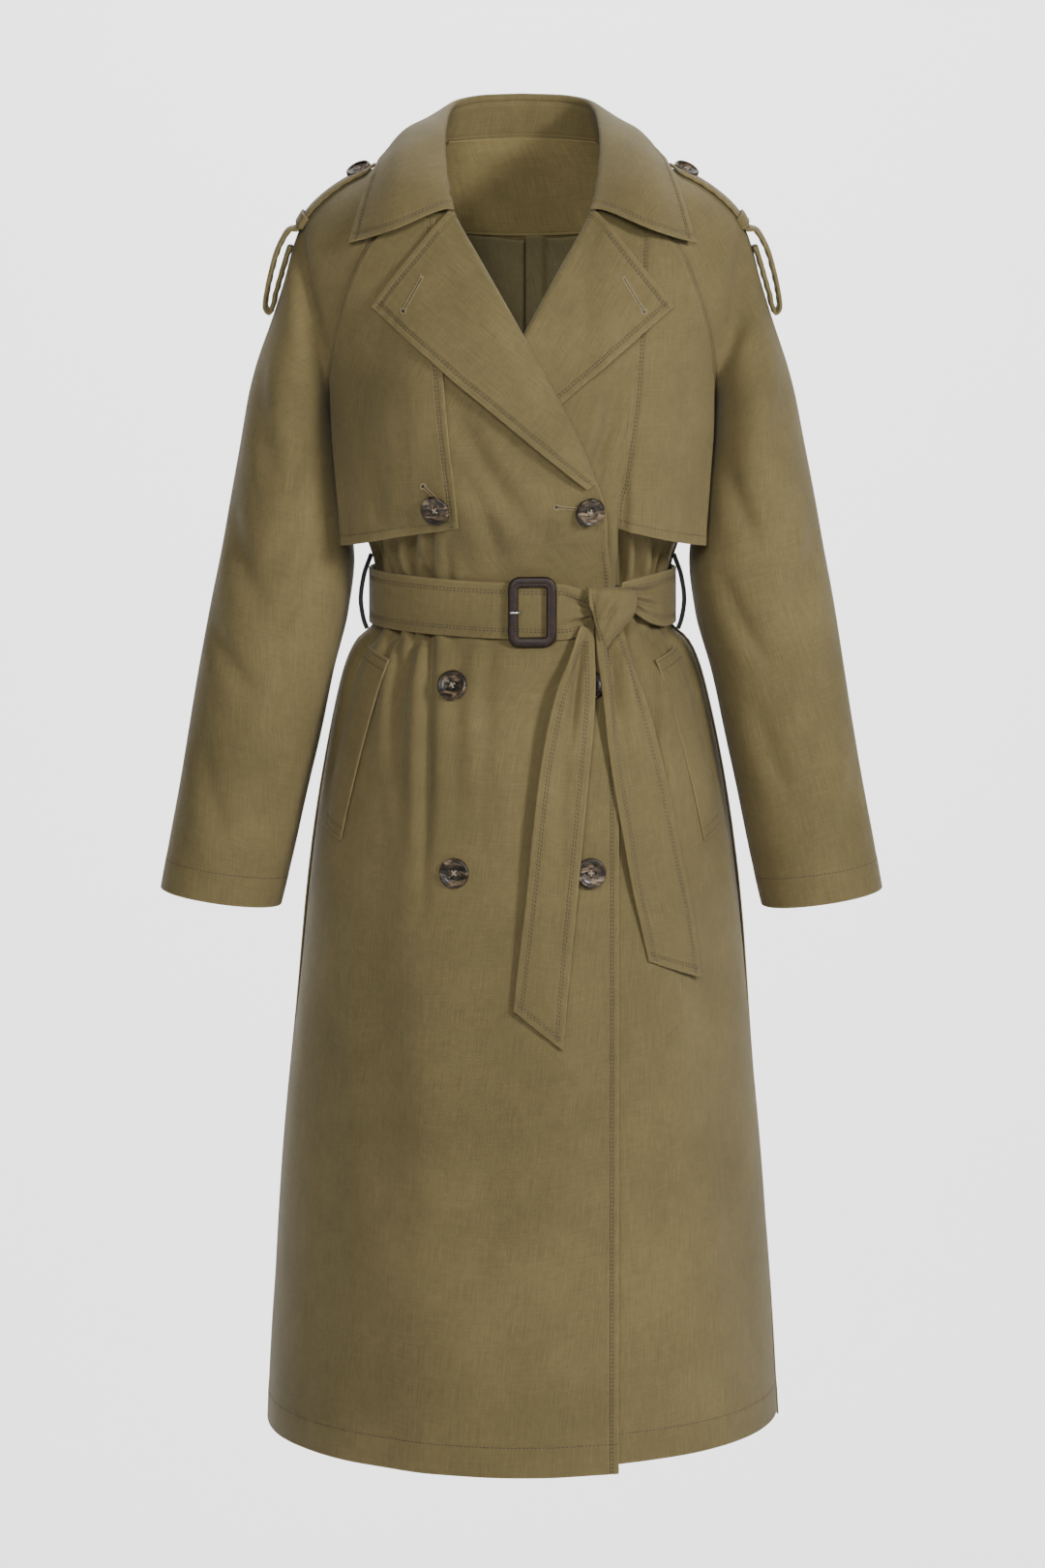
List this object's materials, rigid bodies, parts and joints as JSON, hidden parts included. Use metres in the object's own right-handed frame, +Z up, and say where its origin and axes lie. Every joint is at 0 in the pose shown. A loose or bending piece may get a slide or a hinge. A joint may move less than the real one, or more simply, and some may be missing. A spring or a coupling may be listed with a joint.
{
  "type": "trench coat",
  "caption": "Double-breasted raglan trench coat with storm flaps, shoulder straps, wide lapels and a knotted, buckled belt, filled out as worn, with open neck, cuffs and hem.",
  "frame": {"origin": "centre of the neck opening at the level of the back neck seam, where a wearer's neck passes", "axes": "+Z up along the coat's length, the front faces -Y, +X towards the wearer's left sleeve"},
  "size_m": [0.616, 0.3687, 1.1429],
  "materials": {
    "gabardine": "matte twill",
    "lining": "soft satin twill",
    "horn": "glossy mottled horn",
    "leather": "grained, satin",
    "metal": "satin",
    "cord": "braided, matte"
  },
  "bodies": {
    "root": {"front_right": "gabardine", "front_left": "gabardine", "back": "gabardine", "sleeve_right": "gabardine", "sleeve_left": "gabardine", "collar_stand": "gabardine", "collar_fall": "gabardine", "lapel_right": "gabardine", "lapel_left": "gabardine", "facing_back_neck": "gabardine", "flap_right": "gabardine", "flap_left": "gabardine", "epaulette_right": "gabardine", "epaulette_left": "gabardine", "epaulette_keeper_right": "gabardine", "epaulette_keeper_left": "gabardine", "pocket_welt_right": "gabardine", "pocket_welt_left": "gabardine", "belt_band": "gabardine", "belt_knot": "gabardine", "belt_tail_left": "gabardine", "belt_tail_right": "gabardine", "lining_back": "lining", "buckle_frame": "leather", "buckle_prong": "metal", "belt_loop_left": "cord", "belt_loop_right": "cord", "button_flap_right": "horn", "button_top_left": "horn", "button_mid_right": "horn", "button_mid_left": "horn", "button_low_right": "horn", "button_low_left": "horn", "epaulette_button_left": "horn", "epaulette_button_right": "horn"}
  },
  "joints": []
}
